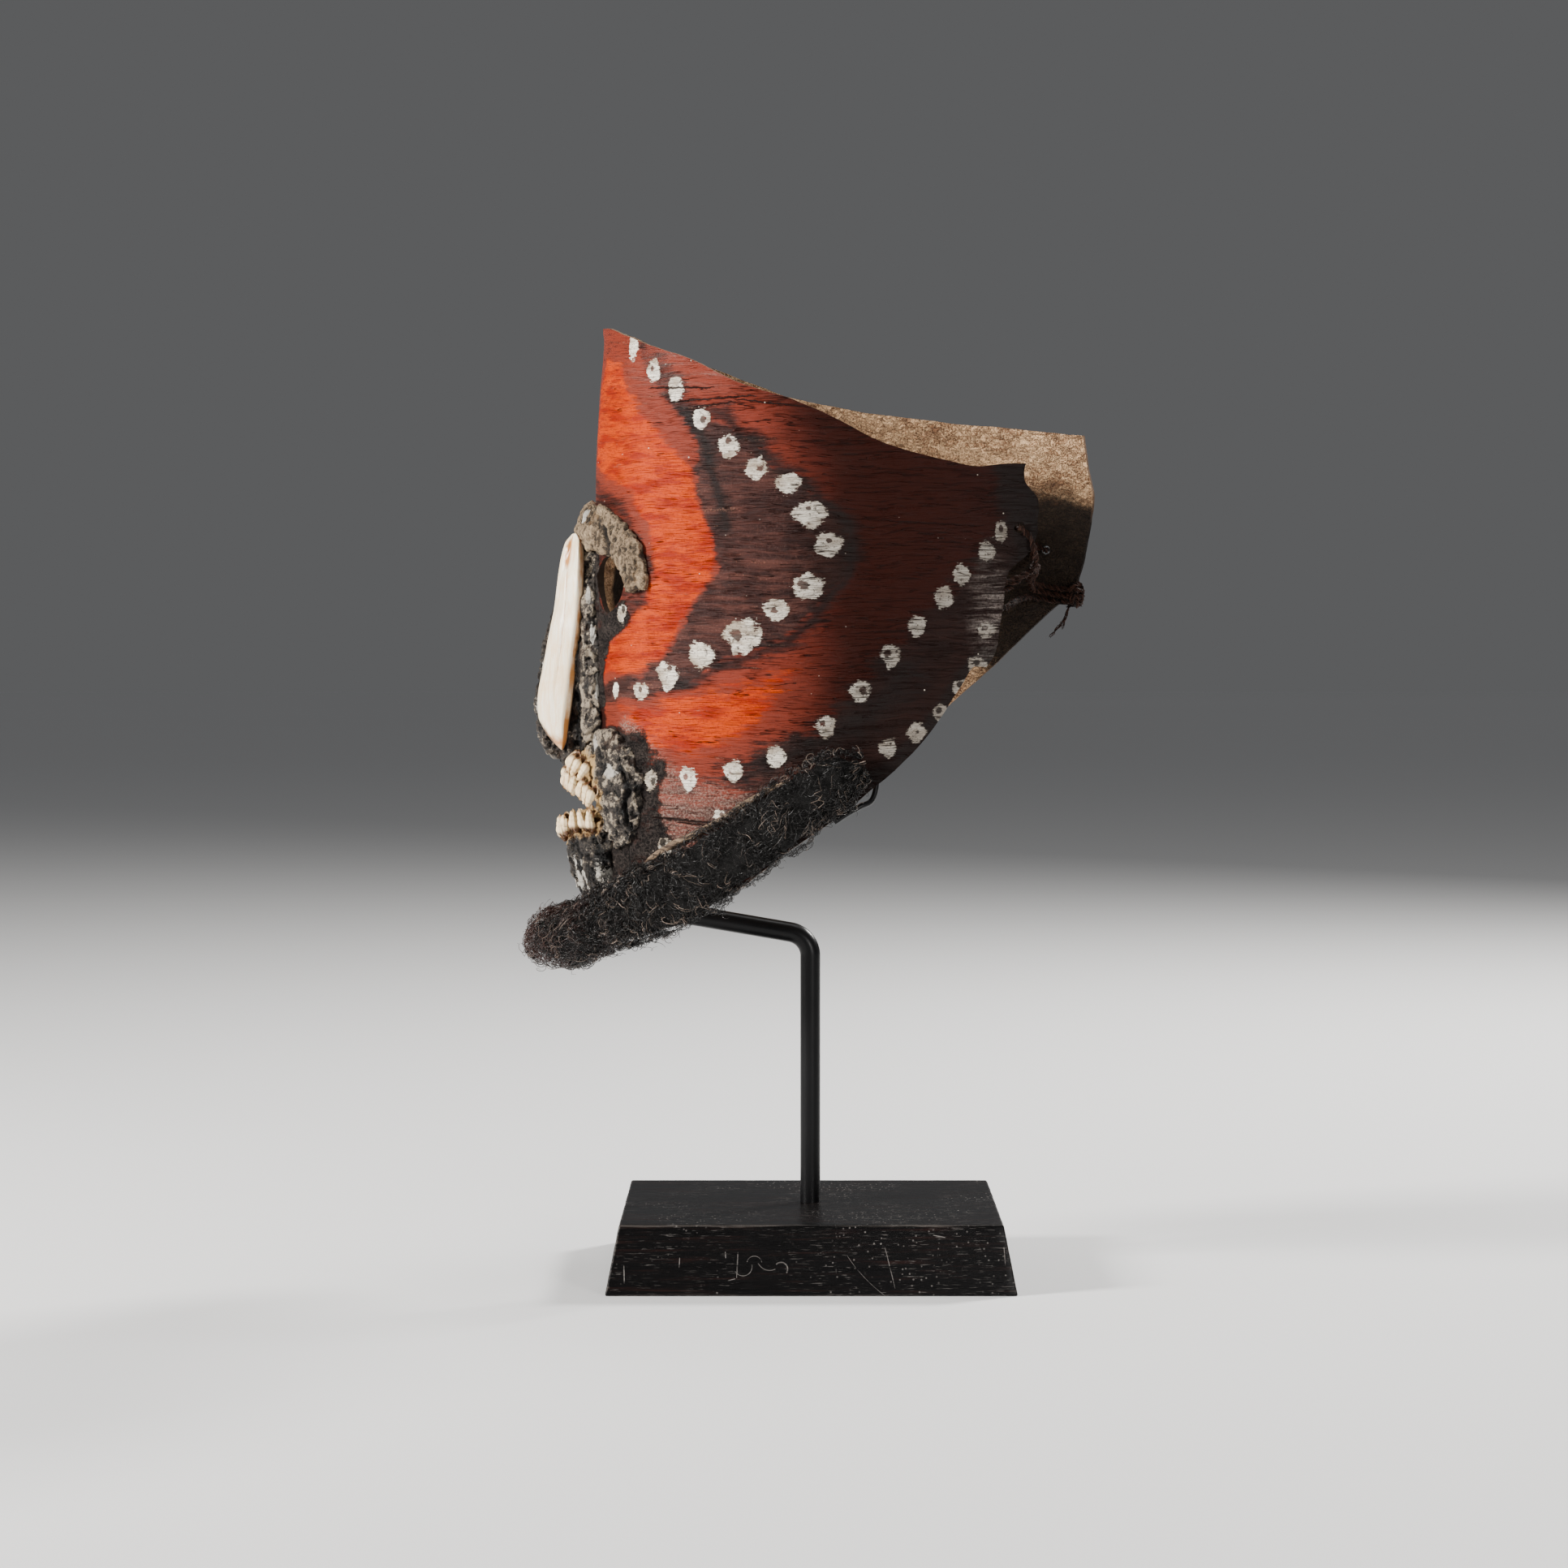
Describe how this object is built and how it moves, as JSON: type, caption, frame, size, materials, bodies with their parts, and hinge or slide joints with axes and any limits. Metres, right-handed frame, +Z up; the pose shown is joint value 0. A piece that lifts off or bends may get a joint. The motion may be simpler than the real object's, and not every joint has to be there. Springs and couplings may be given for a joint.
{
  "type": "papuan mask",
  "caption": "Palm-sheath face mask bent into an open C, with a moulded nose, tusks, shells round the mouth and a hair beard, held by a bent rod on a block.",
  "frame": {"origin": "centre of the base block's underside", "axes": "+Z up; the mask looks along -X, so +X is its tied back; -Y is the mask's left side"},
  "size_m": [0.2333, 0.1562, 0.386],
  "materials": {
    "black_wood": "black stain, waxed",
    "black_steel": "satin black",
    "painted_sheath": "orange and dark paint with white dots on ribbed palm sheath",
    "clay": "dry, cracked",
    "resin": "black, cracked, chalk rubbed",
    "tusk": "polished ivory",
    "shell": "worn, chalky",
    "cane": "dull",
    "hair": "matted curls",
    "fibre_cord": "twisted, frayed"
  },
  "bodies": {
    "root": {"base_block": "black_wood", "stand_rod": "black_steel", "mask_sheet": "painted_sheath", "brow": "clay", "nose": "resin", "tusk_left": "tusk", "tusk_right": "tusk", "upper_lip": "resin", "chin": "resin", "cane_strip_left": "cane", "cane_strip_right": "cane", "beard": "hair", "back_lashing": "fibre_cord", "clip_left": "black_steel", "clip_right": "black_steel", "shell_upper_1": "shell", "shell_upper_2": "shell", "shell_upper_3": "shell", "shell_upper_4": "shell", "shell_upper_5": "shell", "shell_upper_6": "shell", "shell_upper_7": "shell", "shell_upper_8": "shell", "shell_upper_9": "shell", "shell_upper_10": "shell", "shell_upper_11": "shell", "shell_upper_12": "shell", "shell_upper_13": "shell", "shell_upper_14": "shell", "shell_upper_15": "shell", "shell_lower_1": "shell", "shell_lower_2": "shell", "shell_lower_3": "shell", "shell_lower_4": "shell", "shell_lower_5": "shell", "shell_lower_6": "shell", "shell_lower_7": "shell", "shell_lower_8": "shell", "shell_lower_9": "shell", "shell_lower_10": "shell", "shell_lower_11": "shell", "shell_lower_12": "shell", "shell_top_left_1": "shell", "shell_top_left_2": "shell", "shell_top_left_3": "shell", "shell_top_left_4": "shell", "shell_top_right_1": "shell", "shell_top_right_2": "shell", "shell_top_right_3": "shell", "shell_top_right_4": "shell"}
  },
  "joints": []
}
